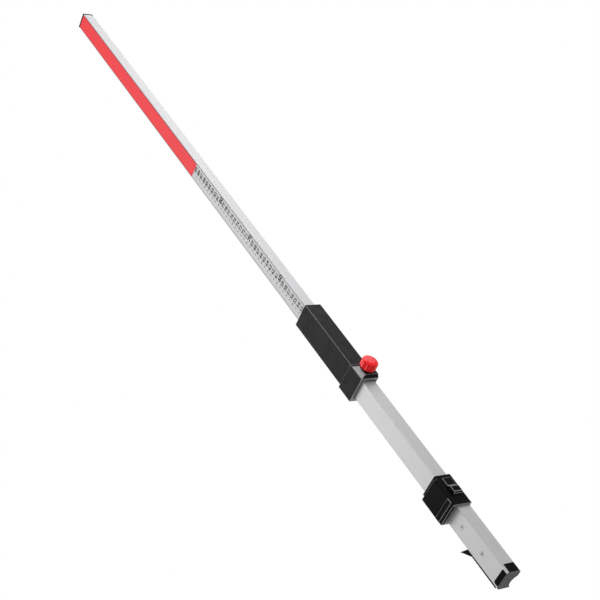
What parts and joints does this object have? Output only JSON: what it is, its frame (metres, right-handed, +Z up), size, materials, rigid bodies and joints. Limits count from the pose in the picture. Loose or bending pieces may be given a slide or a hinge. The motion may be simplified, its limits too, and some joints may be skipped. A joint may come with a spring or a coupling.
{
  "type": "leveling rod",
  "caption": "Telescopic aluminium leveling rod with a printed scale, a clamping sleeve with a red knob, a sliding receiver carriage and a foot.",
  "frame": {"origin": "centre of the foot plate's underside, the rod's zero", "axes": "+Z up along the rod; the scale faces -Y; the clamp knob stands out along +X"},
  "size_m": [0.0705, 0.0366, 1.378],
  "materials": {
    "anodised": "silver anodised extrusion",
    "black_polymer": "moulded, fine grain",
    "deep_black": "moulded, satin",
    "plate_grey": "dark grey hard coat",
    "rubber": "matt",
    "zinc_steel": "zinc plated",
    "spring_steel": "drawn wire",
    "brass": "turned",
    "acetal": "natural, satin",
    "scale_film": "printed film, satin",
    "red_film": "coloured film, satin",
    "red_gloss": "moulded, glossy"
  },
  "bodies": {
    "lower_section": {"outer_tube": "anodised", "foot_block": "deep_black", "foot_plate": "plate_grey", "foot_buffer": "rubber", "foot_screw_lower": "zinc_steel", "foot_screw_upper": "zinc_steel", "clip_pin": "zinc_steel", "clip_spring": "spring_steel", "sleeve": "black_polymer", "guide_bush": "acetal", "sleeve_screw_lower": "zinc_steel", "sleeve_screw_upper": "zinc_steel", "stop_pin": "zinc_steel", "threaded_insert": "brass", "knob_washer": "acetal"},
    "clip": {"clip_lever": "deep_black"},
    "upper_section": {"inner_tube": "anodised", "scale_tape": "scale_film", "red_tape": "red_film", "top_cap": "deep_black", "lower_glide": "acetal"},
    "clamp": {"clamp_shoe": "rubber"},
    "clamp_knob": {"knob": "red_gloss", "knob_stud": "zinc_steel"},
    "carriage": {"carriage_body": "deep_black", "liner_front": "acetal", "liner_back": "acetal", "lever_pin": "zinc_steel", "lever_spring": "spring_steel"},
    "brake": {"brake_lever": "deep_black", "brake_pad": "rubber"}
  },
  "joints": [
    {"name": "telescope", "type": "slide", "parent": "lower_section", "child": "upper_section", "axis": [0, 0, 1], "range_m": [-0.24, 0]},
    {"name": "clamp_press", "type": "slide", "parent": "lower_section", "child": "clamp", "axis": [1, 0, 0], "range_m": [0, 0.0015]},
    {"name": "knob_turn", "type": "hinge", "parent": "clamp", "child": "clamp_knob", "pos_m": [0, 0.001, 0.372], "axis": [1, 0, 0], "range_deg": [0, 540]},
    {"name": "carriage_slide", "type": "slide", "parent": "lower_section", "child": "carriage", "axis": [0, 0, 1], "range_m": [-0.04, 0.185]},
    {"name": "brake_release", "type": "hinge", "parent": "carriage", "child": "brake", "pos_m": [0.018, 0.001, 0.151], "axis": [0, 1, 0], "range_deg": [0, 5], "stiffness_Nm_per_rad": 0.5, "springref_deg": -2.86, "deforming": ["lever_spring"]},
    {"name": "clip_open", "type": "hinge", "parent": "lower_section", "child": "clip", "pos_m": [-0.01695, 0, 0.0055], "axis": [0, -1, 0], "range_deg": [0, 20], "stiffness_Nm_per_rad": 0.3, "springref_deg": -2.86}
  ],
  "couplings": [
    {"joint": "knob_turn", "follows": "clamp_press", "rad_per_m": 6283.2}
  ]
}
